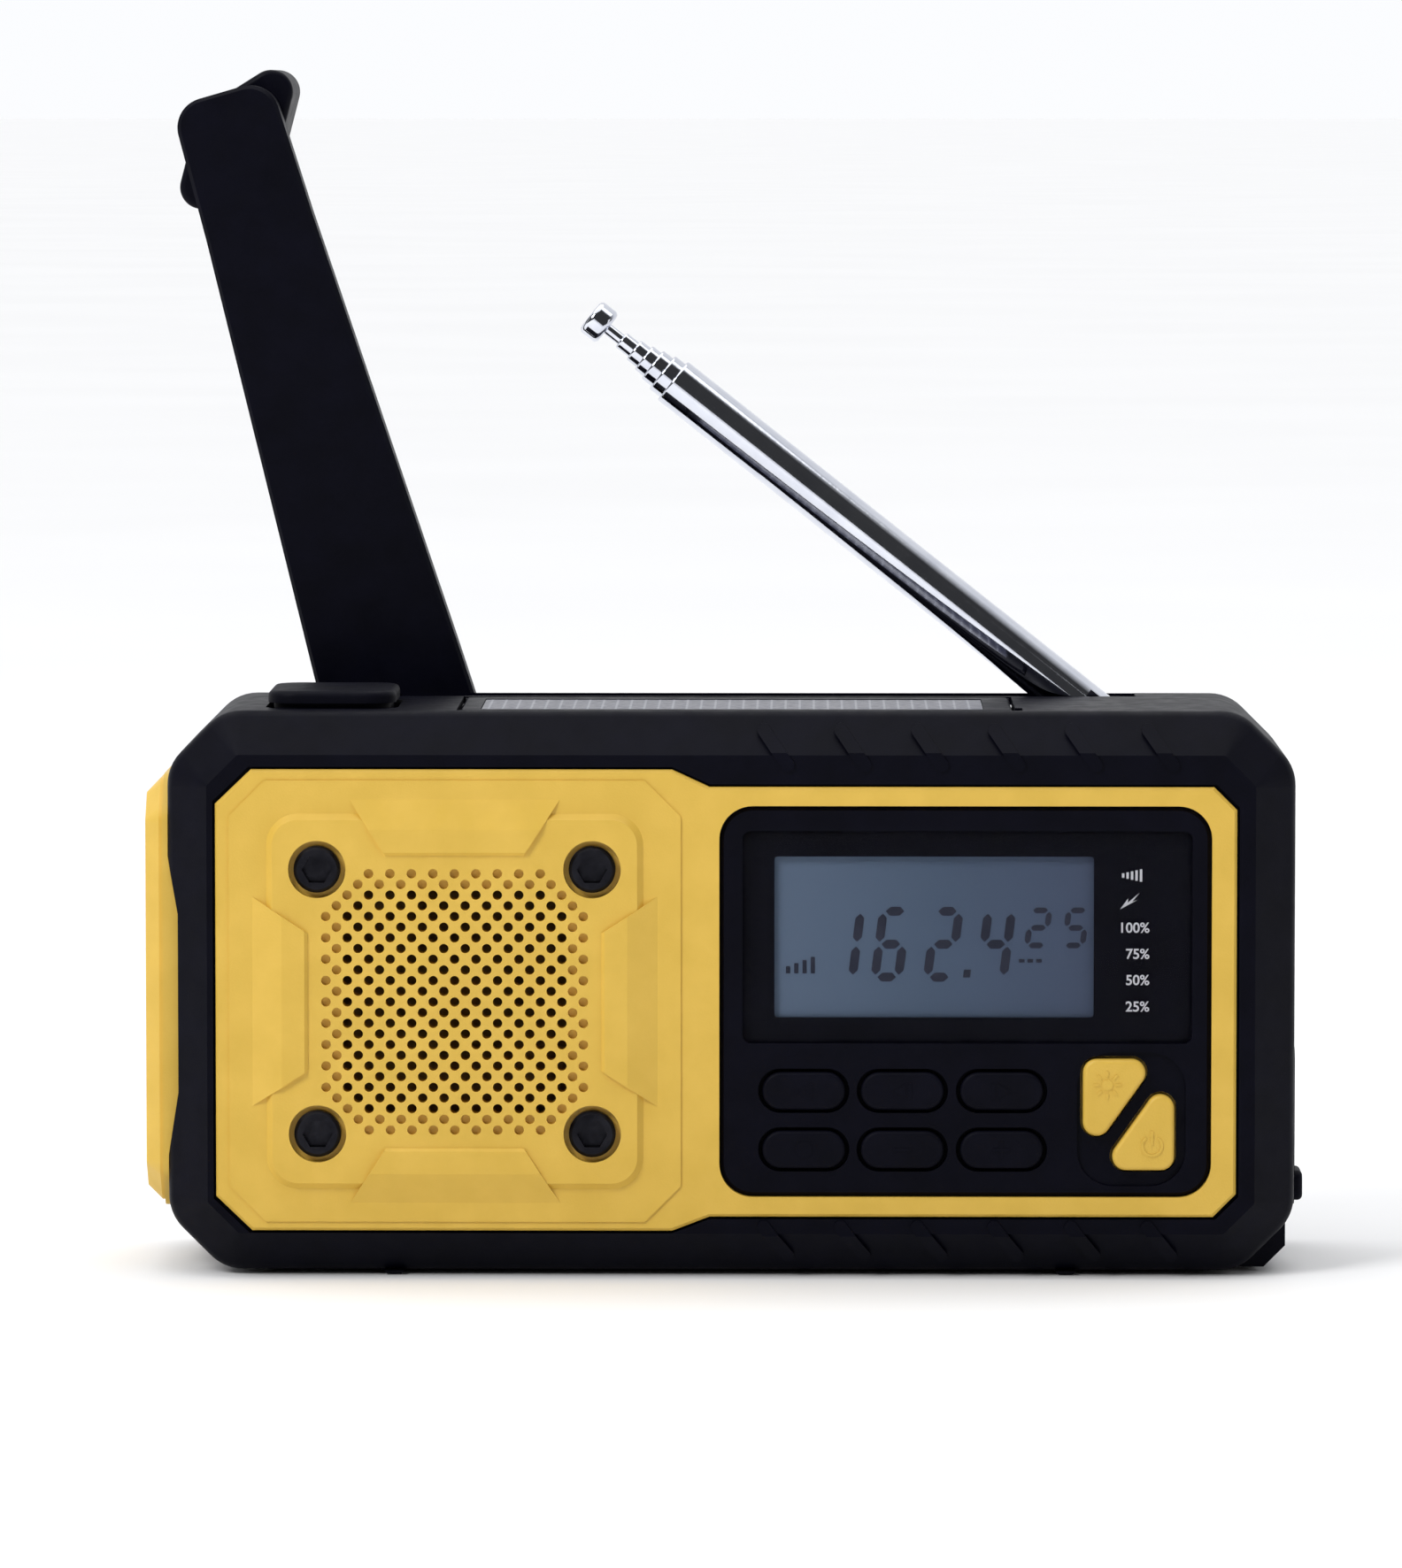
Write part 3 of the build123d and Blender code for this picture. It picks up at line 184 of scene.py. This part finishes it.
def liquid_crystal():
    """Grey-blue reflective display, darker towards its right end, with fine grain."""
    finish = Finish("lcd").set(Specular_IOR_Level=0.1)
    grain = finish.noise(LCD_GRAIN_SIZE, 2.0)
    split = finish.nodes.new("ShaderNodeSeparateXYZ")
    finish.links.new(finish.place, split.inputs["Vector"])
    low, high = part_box("lcd_module")
    across = finish.nodes.new("ShaderNodeMapRange")
    across.inputs["From Min"].default_value = low.x + LCD_BORDER
    across.inputs["From Max"].default_value = high.x - LCD_BORDER
    finish.links.new(split.outputs["X"], across.inputs["Value"])
    mix = finish.nodes.new("ShaderNodeMix")
    mix.inputs["Factor"].default_value = 0.8
    finish.links.new(grain, mix.inputs["A"])
    finish.links.new(across.outputs["Result"], mix.inputs["B"])
    finish.colour(finish.ramp(mix.outputs["Result"],
                              [(0.1, LCD_LIGHT), (0.5, LCD_MIDDLE), (0.9, LCD_DARK)]))
    return finish.rough(finish.spread(grain, 0.42, 0.5)).material


CELL_STRIPE = 0.0063                     # scale of the solar cell's stripes
SILICON_DARK, SILICON_LIGHT, COLLECTOR = (0.030, 0.032, 0.055), (0.038, 0.040, 0.068), (0.16, 0.165, 0.20)


def solar_film():
    """Laminated solar cell: dark silicon under a satin sheet, with thin collector lines."""
    finish = Finish("solar").set(Specular_IOR_Level=0.2, Coat_Weight=0.15, Coat_Roughness=0.2)
    wave = finish.nodes.new("ShaderNodeTexWave")
    wave.bands_direction = "X"
    wave.inputs["Scale"].default_value = 1 / CELL_STRIPE
    finish.links.new(finish.place, wave.inputs["Vector"])
    finish.colour(finish.ramp(wave.outputs["Fac"],
                              [(0.0, SILICON_DARK), (0.90, SILICON_LIGHT), (0.985, COLLECTOR)]))
    finish.sheen(0.001, 3.0, 0.3, 0.42)
    return finish.bump(finish.noise(0.0006, 2.0), 0.00002).material


def lamp_diffuser():
    """Milky plastic over the reading lamp."""
    finish = Finish("lamp_white").set(Specular_IOR_Level=0.4)
    finish.mottled(0.003, 2.0, (0.72, 0.72, 0.68), (0.80, 0.80, 0.77))
    return finish.sheen(0.0006, 2.0, 0.3, 0.45).material


BOARD_DARK, BOARD_LIGHT = (0.008, 0.085, 0.035), (0.02, 0.16, 0.07)


def circuit_board():
    """Green lacquered board with lighter traces."""
    finish = Finish("circuit_board")
    traces = finish.noise(0.0018, 1.0, 0.2, (1, 1, 0.2))
    finish.colour(finish.ramp(traces, [(0.44, BOARD_DARK), (0.5, BOARD_LIGHT), (0.56, BOARD_DARK)]))
    finish.sheen(0.001, 2.0, 0.3, 0.45)
    return finish.bump(finish.noise(0.0015, 1.0), 0.00003).material


MATERIALS = {
    "black_plastic": moulded("black_plastic", (0.0010, 0.0011, 0.0042), (0.0018, 0.0019, 0.0064),
                             grain=0.00022, depth=0.000012, roughness=0.46, specular=0.07),
    "yellow_plastic": moulded("yellow_plastic", (0.66, 0.425, 0.060), (0.71, 0.46, 0.072),
                              grain=0.00032, depth=0.000022, roughness=0.44, specular=0.4),
    "black_steel": metal("black_steel", (0.010, 0.010, 0.013), (0.022, 0.022, 0.027),
                         roughness=0.38, scratch=0.000008, stretch=(1, 1, 1)),
    "clear_plastic": clear_plastic(),
    "lcd": liquid_crystal(),
    "circuit_board": circuit_board(),
    "switch_metal": metal("switch_metal", (0.5, 0.5, 0.51), (0.62, 0.62, 0.62),
                          roughness=0.3, scratch=0.00001, stretch=(1, 1, 9)),
    "ferrite": moulded("ferrite", (0.035, 0.035, 0.038), (0.06, 0.06, 0.062),
                       grain=0.0006, depth=0.00003, roughness=0.55, specular=0.4),
    "copper": metal("copper", (0.45, 0.16, 0.07), (0.62, 0.25, 0.12),
                    roughness=0.28, scratch=0.00006, stretch=(12, 1, 1)),
    "plated_steel": metal("plated_steel", (0.50, 0.50, 0.51), (0.64, 0.64, 0.65),
                          roughness=0.26, scratch=0.00001, stretch=(1, 6, 1)),
    "speaker_paper": moulded("speaker_paper", (0.50, 0.34, 0.17), (0.60, 0.42, 0.22),
                             grain=0.0007, depth=0.00008, roughness=0.8, specular=0.2),
    "chrome": metal("chrome", (0.56, 0.58, 0.65), (0.66, 0.68, 0.74),
                    roughness=0.07, scratch=0.000003, stretch=(1, 1, 1)),
    "lamp_white": lamp_diffuser(),
    "black_rubber": moulded("black_rubber", (0.0012, 0.0013, 0.0044), (0.0022, 0.0023, 0.0070),
                            grain=0.00030, depth=0.000016, roughness=0.56, specular=0.08),
    "solar": solar_film(),
    "gear_nylon": moulded("gear_nylon", (0.70, 0.68, 0.62), (0.78, 0.76, 0.70),
                          grain=0.0008, depth=0.00002, roughness=0.4, specular=0.5),
    "brass": metal("brass", (0.55, 0.38, 0.13), (0.70, 0.50, 0.20),
                   roughness=0.22, scratch=0.00001, stretch=(1, 9, 1)),
    "cell_wrap": moulded("cell_wrap", (0.04, 0.12, 0.30), (0.06, 0.16, 0.36),
                         grain=0.0012, depth=0.00003, roughness=0.3, specular=0.5),
    "socket_metal": metal("socket_metal", (0.55, 0.55, 0.56), (0.68, 0.68, 0.69),
                          roughness=0.24, scratch=0.00001, stretch=(1, 1, 8)),
}
TORCH_GLASS = clear_lens()
LCD_INK = moulded("lcd_ink", (0.030, 0.034, 0.060), (0.042, 0.047, 0.078),
                  grain=0.0004, depth=0.000004, roughness=0.6, specular=0.2)
WHITE_PRINT = moulded("white_print", (0.42, 0.42, 0.46), (0.52, 0.52, 0.56),
                      grain=0.0003, depth=0.000004, roughness=0.6, specular=0.3)


def dress_nodes():
    """Gives every CAD node the material of its slot; the torch lens has its own clear one."""
    for entry in frame["record"]["subparts"]:
        node = NODES[entry["node"]]
        node.data.materials.clear()
        node.data.materials.append(MATERIALS[entry["material_slot"]])
    NODES["torch_lens"].data.materials[0] = TORCH_GLASS


# ---------------------------------------------------------------------------
# Flat shapes in the front view, as lists of (x, z) points in millimetres
# ---------------------------------------------------------------------------
SLANT = 0.125                            # lean of the display's figures, x for each z


def rectangle(x, z, width, height, slant=0.0):
    half_w, half_h = width / 2, height / 2
    corners = ((-half_w, -half_h), (half_w, -half_h), (half_w, half_h), (-half_w, half_h))
    return [(x + px + slant * pz, z + pz) for px, pz in corners]


def row_of_bars(x, z, count, pitch, width, height, growth=0.0, lift=0.0):
    """Upright bars, each taller by growth and higher by lift than the one before."""
    return [rectangle(x + pitch * step, z + lift * step, width, height + growth * step)
            for step in range(count)]


def arc(x, z, radius, start, end, steps=20):
    """Points on an arc between two angles in degrees."""
    angles = [math.radians(start + (end - start) * step / steps) for step in range(steps + 1)]
    return [(x + radius * math.cos(angle), z + radius * math.sin(angle)) for angle in angles]


def spoke(x, z, angle, inner, outer, width):
    """A bar that points away from x, z at an angle in degrees."""
    cos, sin = math.cos(math.radians(angle)), math.sin(math.radians(angle))
    half = width / 2
    corners = ((inner, -half), (outer, -half), (outer, half), (inner, half))
    return [(x + along * cos - aside * sin, z + along * sin + aside * cos) for along, aside in corners]


def segment(x0, z0, x1, z1, width):
    """A display segment: a bar with pointed ends."""
    along = Vector((x1 - x0, z1 - z0)).normalized()
    side = Vector((-along.y, along.x)) * width / 2
    cap = along * width / 2
    start, end = Vector((x0, z0)), Vector((x1, z1))
    points = [start, start + cap + side, end - cap + side, end, end - cap - side, start + cap - side]
    return [(p.x, p.y) for p in points]


SEGMENTS = {"1": "bc", "2": "abged", "4": "fgbc", "5": "afgcd", "6": "afgedc"}
SEGMENT_GAP = 0.26                       # gap at each end of a segment, in strokes


def digit(symbol, x, z, width, height, stroke):
    """One slanted seven-segment digit centred on x, z."""
    half_w, half_h = width / 2, height / 2
    ends = {"a": ((-half_w, half_h), (half_w, half_h)), "g": ((-half_w, 0), (half_w, 0)),
            "d": ((-half_w, -half_h), (half_w, -half_h)), "f": ((-half_w, 0), (-half_w, half_h)),
            "b": ((half_w, 0), (half_w, half_h)), "e": ((-half_w, -half_h), (-half_w, 0)),
            "c": ((half_w, -half_h), (half_w, 0))}
    shapes = []
    for letter in SEGMENTS[symbol]:
        start, end = (Vector(point) for point in ends[letter])
        gap = (end - start).normalized() * SEGMENT_GAP * stroke
        start, end = start + gap, end - gap
        shape = segment(start.x, start.y, end.x, end.y, stroke)
        shapes.append([(x + px + SLANT * pz, z + pz) for px, pz in shape])
    return shapes


# ---------------------------------------------------------------------------
# Pieces built here: thin raised marks on the display, keys and buttons
# ---------------------------------------------------------------------------
def raised_shapes(name, outlines, y_front, thickness, material, body):
    """One piece made of flat shapes that are given a small thickness."""
    bm = bmesh.new()
    for outline in outlines:
        area = sum(a[0] * b[1] - b[0] * a[1] for a, b in zip(outline, outline[1:] + outline[:1]))
        points = outline if area > 0 else outline[::-1]
        front = [bm.verts.new((x * MM, y_front * MM, z * MM)) for x, z in points]
        back = [bm.verts.new((x * MM, (y_front + thickness) * MM, z * MM)) for x, z in points]
        bm.faces.new(front)
        bm.faces.new(back[::-1])
        for index in range(len(points)):
            after = (index + 1) % len(points)
            bm.faces.new((front[after], front[index], back[index], back[after]))
    bmesh.ops.recalc_face_normals(bm, faces=bm.faces)
    mesh = bpy.data.meshes.new(name)
    bm.to_mesh(mesh)
    bm.free()
    mesh.materials.append(material)
    piece = bpy.data.objects.new(name, mesh)
    bpy.context.scene.collection.objects.link(piece)
    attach(piece, body)


BIG_DIGITS, BIG_Z = (("1", 17.2), ("6", 23.6), ("2", 30.9), ("4", 38.2)), 46.6
SMALL_DIGITS, SMALL_Z = (("2", 44.1), ("5", 49.3)), 48.9


def build_digits():
    """Frequency on the LCD, with its point, a row of signal bars and three dashes."""
    shapes = []
    for symbol, x in BIG_DIGITS:
        shapes += digit(symbol, x, BIG_Z, width=3.25, height=9.2, stroke=1.25)
    for symbol, x in SMALL_DIGITS:
        shapes += digit(symbol, x, SMALL_Z, width=2.5, height=4.9, stroke=0.8)
    shapes.append(rectangle(34.2, 42.5, 1.0, 1.1, SLANT))
    shapes += row_of_bars(9.3, 43.0, count=4, pitch=1.15, width=0.6, height=1.0, growth=0.44, lift=0.22)
    shapes += row_of_bars(41.8, 44.3, count=3, pitch=1.2, width=0.8, height=0.5)
    raised_shapes("lcd_digits", shapes, front_of("lcd_module") - 0.06, 0.05, LCD_INK, "radio")


FLASH_X, FLASH_Z = 55.4, 51.7
FLASH_UPPER = ((0, 0), (2.7, 2.3), (1.65, 1.05), (2.4, 1.3))
FLASH_LOWER = ((0, 0), (1.1, 1.5), (1.05, 0.9), (2.0, 1.7))
SCALE_LABELS = ((100, 49.05), (75, 45.4), (50, 41.75), (25, 38.05))
LABEL_RIGHT, LABEL_SIZE, LABEL_DEPTH, LABEL_WEIGHT = 59.5, 1.98, 0.012, 0.03


def build_scale():
    """Marks printed on the display lens: bars, a flash and the battery scale."""
    lens_face = front_of("display_lens")
    marks = row_of_bars(55.8, 56.4, count=5, pitch=0.62, width=0.34, height=0.6, growth=0.28)
    marks += [[(FLASH_X + x, FLASH_Z + z) for x, z in outline] for outline in (FLASH_UPPER, FLASH_LOWER)]
    raised_shapes("display_marks", marks, lens_face - 0.02, 0.02, WHITE_PRINT, "radio")
    for value, z in SCALE_LABELS:
        curve = bpy.data.curves.new(f"scale_{value}", "FONT")
        curve.body = f"{value}%"
        curve.size = LABEL_SIZE * MM
        curve.align_x, curve.align_y = "RIGHT", "CENTER"
        curve.extrude = LABEL_DEPTH * MM
        curve.offset = LABEL_WEIGHT * MM
        curve.materials.append(WHITE_PRINT)
        label = bpy.data.objects.new(f"scale_{value}", curve)
        bpy.context.scene.collection.objects.link(label)
        label.matrix_world = (Matrix.Translation(Vector((LABEL_RIGHT, lens_face - LABEL_DEPTH, z)) * MM)
                              @ Matrix.Rotation(math.radians(90), 4, "X"))
        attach(label, "radio")


KEY_SIGN_LIFT, KEY_SIGN_THICK = 0.14, 0.2
POWER_SIGN_DX, POWER_SIGN_DZ = 1.2, -1.8         # from the middle of the key
ALERT_SIGN_DX, ALERT_SIGN_DZ = -0.95, 1.8


def raise_key_sign(name, shapes, key):
    raised_shapes(name, shapes, front_of(key) - KEY_SIGN_LIFT, KEY_SIGN_THICK,
                  MATERIALS["yellow_plastic"], key)


def build_key_signs():
    """A raised power sign on one key and a small beacon sign on the other."""
    x, z = centre_of("power_key")
    x, z = x + POWER_SIGN_DX, z + POWER_SIGN_DZ
    ring = arc(x, z, 1.55, 125, 415) + arc(x, z, 1.2, 415, 125)
    raise_key_sign("power_sign", [ring, rectangle(x, z + 1.1, 0.36, 2.0)], "power_key")
    x, z = centre_of("alert_key")
    x, z = x + ALERT_SIGN_DX, z + ALERT_SIGN_DZ
    rays = [spoke(x, z, 45 * step, inner=1.15, outer=1.95, width=0.32) for step in range(8)]
    raise_key_sign("alert_sign", [arc(x, z, 0.75, 0, 350)] + rays, "alert_key")


BUTTON_SIGNS = {
    1: row_of_bars(-1.0, 0, count=3, pitch=1.0, width=0.4, height=0.8, growth=0.6),
    2: [[(-1.3, 0), (0.5, -1.1), (0.5, 1.1)], rectangle(1.1, 0, 0.4, 2.2)],
    3: [[(1.3, 0), (-0.5, 1.1), (-0.5, -1.1)], rectangle(-1.1, 0, 0.4, 2.2)],
    4: [arc(0, 0, 1.2, 0, 345)],
    5: [rectangle(0, 0, 2.4, 0.45)],
    6: [rectangle(0, 0, 2.4, 0.45), rectangle(0, 0.75, 0.45, 1.0), rectangle(0, -0.75, 0.45, 1.0)],
}
BUTTON_SIGN_LIFT, BUTTON_SIGN_THICK = 0.1, 0.16


def build_button_signs():
    """Faint raised signs on the rubber buttons: bars, arrows, a disc, minus and plus."""
    for number, shapes in BUTTON_SIGNS.items():
        button = f"button_{number}"
        x, z = centre_of(button)
        placed = [[(x + px, z + pz) for px, pz in shape] for shape in shapes]
        raised_shapes(f"button_sign_{number}", placed, front_of(button) - BUTTON_SIGN_LIFT,
                      BUTTON_SIGN_THICK, MATERIALS["black_rubber"], button)


# ---------------------------------------------------------------------------
# Stage: floor, world, lights and camera
# ---------------------------------------------------------------------------
FLOOR_RADIUS, FLOOR_DROP = 60.0, 0.0001


def build_floor():
    bm = bmesh.new()
    bmesh.ops.create_circle(bm, cap_ends=True, segments=96, radius=FLOOR_RADIUS)
    mesh = bpy.data.meshes.new("floor")
    bm.to_mesh(mesh)
    bm.free()
    floor = bpy.data.objects.new("floor", mesh)
    floor.location.z = -FLOOR_DROP
    bpy.context.scene.collection.objects.link(floor)
    finish = Finish("floor").set(Specular_IOR_Level=0.1)
    finish.mottled(0.3, 2.0, (0.88, 0.88, 0.885), (0.90, 0.90, 0.905))
    mesh.materials.append(finish.sheen(0.05, 2.0, 0.8, 0.9).material)


FRONT_ROOM, BACK_ROOM = 0.05, 1.0        # brightness behind the camera and beyond the radio
ROOM_BLEND = 0.35
ROOM_COLOUR = (0.97, 0.98, 1.0, 1)


def build_world():
    """A white room that is darker behind the camera, as a studio with dark walls is."""
    world = bpy.data.worlds.new("studio")
    bpy.context.scene.world = world
    world.use_nodes = True
    nodes, links = world.node_tree.nodes, world.node_tree.links
    direction = nodes.new("ShaderNodeTexCoord").outputs["Generated"]
    split = nodes.new("ShaderNodeSeparateXYZ")
    links.new(direction, split.inputs["Vector"])
    ramp = nodes.new("ShaderNodeMapRange")
    ramp.inputs["From Min"].default_value = -ROOM_BLEND
    ramp.inputs["From Max"].default_value = ROOM_BLEND
    ramp.inputs["To Min"].default_value = FRONT_ROOM
    ramp.inputs["To Max"].default_value = BACK_ROOM
    links.new(split.outputs["Y"], ramp.inputs["Value"])
    background = nodes["Background"]
    background.inputs["Color"].default_value = ROOM_COLOUR
    links.new(ramp.outputs["Result"], background.inputs["Strength"])


LIGHT_TARGET = Vector((0, 0, 0.05))
SKY_POWER, SKY_SPREAD = 1.75, 80


def add_softbox(name, position, width, height, power):
    """A rectangular light that faces the radio."""
    light = bpy.data.lights.new(name, "AREA")
    light.shape = "RECTANGLE"
    light.size, light.size_y = width, height
    light.energy = power
    holder = bpy.data.objects.new(name, light)
    holder.location = position
    holder.rotation_euler = (LIGHT_TARGET - Vector(position)).to_track_quat("-Z", "Y").to_euler()
    bpy.context.scene.collection.objects.link(holder)


def build_lights():
    """Two softboxes in front and a wide soft light from straight above."""
    bpy.context.scene.view_settings.view_transform = "Standard"
    add_softbox("key", (-0.75, -0.85, 0.95), width=0.5, height=0.5, power=11)
    add_softbox("fill", (0.95, -0.75, 0.45), width=0.5, height=0.7, power=1.2)
    sky = bpy.data.lights.new("sky", "SUN")
    sky.energy = SKY_POWER
    sky.angle = math.radians(SKY_SPREAD)
    holder = bpy.data.objects.new("sky", sky)
    bpy.context.scene.collection.objects.link(holder)


EYE = Vector((0.01134, -1.322, 0.1646))
YAW, PITCH = 0.63, 4.25                  # degrees to the left and down
LENS_LENGTH, SENSOR_HEIGHT = 213.2, 36.0
FAR_CLIP = 200.0


def build_camera():
    """A long lens a little above the radio, looking slightly down and to the left."""
    camera = bpy.data.cameras.new("camera")
    camera.sensor_fit = "VERTICAL"
    camera.sensor_height = SENSOR_HEIGHT
    camera.lens = LENS_LENGTH
    camera.clip_end = FAR_CLIP
    holder = bpy.data.objects.new("camera", camera)
    forward = Vector((-math.tan(math.radians(YAW)), 1, -math.tan(math.radians(PITCH))))
    holder.location = EYE
    holder.rotation_euler = forward.to_track_quat("-Z", "Y").to_euler()
    bpy.context.scene.collection.objects.link(holder)
    bpy.context.scene.camera = holder


build_camera()
build_world()
build_lights()
build_floor()
dress_nodes()
build_digits()
build_scale()
build_key_signs()
build_button_signs()

bpy.context.view_layer.update()
